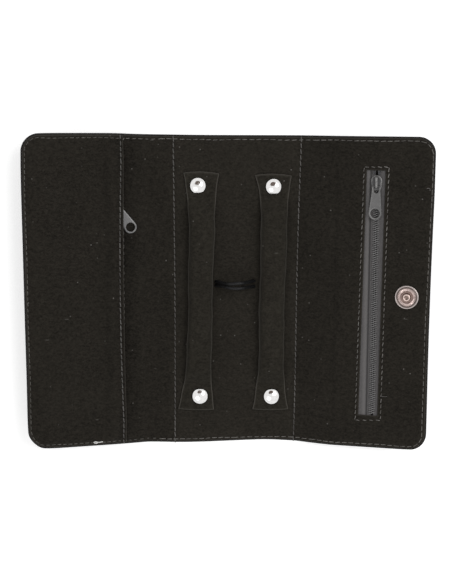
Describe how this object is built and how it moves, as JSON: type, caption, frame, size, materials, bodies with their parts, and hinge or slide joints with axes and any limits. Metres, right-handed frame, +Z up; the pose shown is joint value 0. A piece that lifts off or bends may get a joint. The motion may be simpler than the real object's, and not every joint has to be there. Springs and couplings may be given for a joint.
{
  "type": "fountain pen case",
  "caption": "Suede-lined leather pen folder lying open: pen bay with padded dividers and an elastic loop, hinged side flaps, zip pockets, magnetic snap.",
  "frame": {"origin": "middle of the centre panel's underside, on the table", "axes": "+X across the open case towards the flap with the snap's stud, +Y along the pen towards the zips' closed ends, +Z up"},
  "size_m": [0.2418, 0.188, 0.0249],
  "materials": {
    "outer_leather": "dark brown-black grained leather, satin",
    "suede": "charcoal-brown suede with a short nap",
    "board": "plain stiffening board, hidden",
    "pocket_cloth": "black pocket cloth, hidden",
    "foam": "foam roll, hidden; fabric stands in for foam",
    "zip_tape": "woven grey-brown zip tape",
    "zip_coil": "grey moulded coil",
    "zip_metal": "small stamped stops",
    "black_metal": "black enamelled zinc",
    "rivet_chrome": "bright domed cap",
    "rivet_steel": "hidden post and base",
    "elastic_cord": "glossy braided round elastic",
    "snap_nickel": "nickel-plated, turned rings",
    "magnet": "ring magnet; cast iron stands in for ferrite"
  },
  "bodies": {
    "centre": {"cover_centre": "outer_leather", "board_centre": "board", "lining_centre": "suede", "left_divider_strap": "suede", "left_divider_core": "foam", "right_divider_strap": "suede", "right_divider_core": "foam", "rivet_caps": "rivet_chrome", "rivet_posts": "rivet_steel", "elastic_strands": "elastic_cord"},
    "left_spine": {"cover_left_spine": "outer_leather", "lining_left_spine": "suede"},
    "left_flap": {"cover_left_flap": "outer_leather", "board_left": "board", "pocket_cloth_left": "pocket_cloth", "lining_left": "suede", "pocket_left": "suede", "left_zip_tapes": "zip_tape", "left_zip_coils": "zip_coil", "left_zip_stops": "zip_metal", "snap_socket_cup": "snap_nickel", "snap_magnet": "magnet", "snap_socket_base": "snap_nickel", "snap_socket_washer": "snap_nickel"},
    "left_zip_slider": {"left_zip_slider": "black_metal"},
    "left_zip_pull": {"left_zip_pull": "black_metal"},
    "right_spine": {"cover_right_spine": "outer_leather", "lining_right_spine": "suede"},
    "right_flap": {"cover_right_flap": "outer_leather", "board_right": "board", "pocket_cloth_right": "pocket_cloth", "lining_right": "suede", "right_zip_tapes": "zip_tape", "right_zip_coils": "zip_coil", "right_zip_stops": "zip_metal", "snap_stud_disc": "snap_nickel", "snap_stud": "snap_nickel", "snap_stud_washer": "snap_nickel"},
    "right_zip_slider": {"right_zip_slider": "black_metal"},
    "right_zip_pull": {"right_zip_pull": "black_metal"}
  },
  "joints": [
    {"name": "left_spine_fold", "type": "hinge", "parent": "centre", "child": "left_spine", "pos_m": [-0.0375, 0, 0.002], "axis": [0, 1, 0], "range_deg": [0, 90]},
    {"name": "left_flap_fold", "type": "hinge", "parent": "left_spine", "child": "left_flap", "pos_m": [-0.0527, 0, 0.002], "axis": [0, 1, 0], "range_deg": [-8, 75]},
    {"name": "left_zip_slide", "type": "slide", "parent": "left_flap", "child": "left_zip_slider", "axis": [0, -1, 0], "range_m": [0, 0.119], "deforming": ["left_zip_coils"]},
    {"name": "left_pull_swing", "type": "hinge", "parent": "left_zip_slider", "child": "left_zip_pull", "pos_m": [-0.07001, 0.0521, 0.00928], "axis": [0.2588, 0, 0.9659], "range_deg": [-30, 25]},
    {"name": "right_spine_fold", "type": "hinge", "parent": "centre", "child": "right_spine", "pos_m": [0.0375, 0, 0.002], "axis": [0, -1, 0], "range_deg": [-20.5, 69.5]},
    {"name": "right_flap_fold", "type": "hinge", "parent": "right_spine", "child": "right_flap", "pos_m": [0.05825, 0, 0.00976], "axis": [0, -1, 0], "range_deg": [-5, 97]},
    {"name": "right_zip_slide", "type": "slide", "parent": "right_flap", "child": "right_zip_slider", "axis": [0, -1, 0], "range_m": [0, 0.134], "deforming": ["right_zip_coils"]},
    {"name": "right_pull_flip", "type": "hinge", "parent": "right_zip_slider", "child": "right_zip_pull", "pos_m": [0.08254, 0.0646, 0.01821], "axis": [0.9724, 0, 0.2334], "range_deg": [-145, 0]}
  ]
}
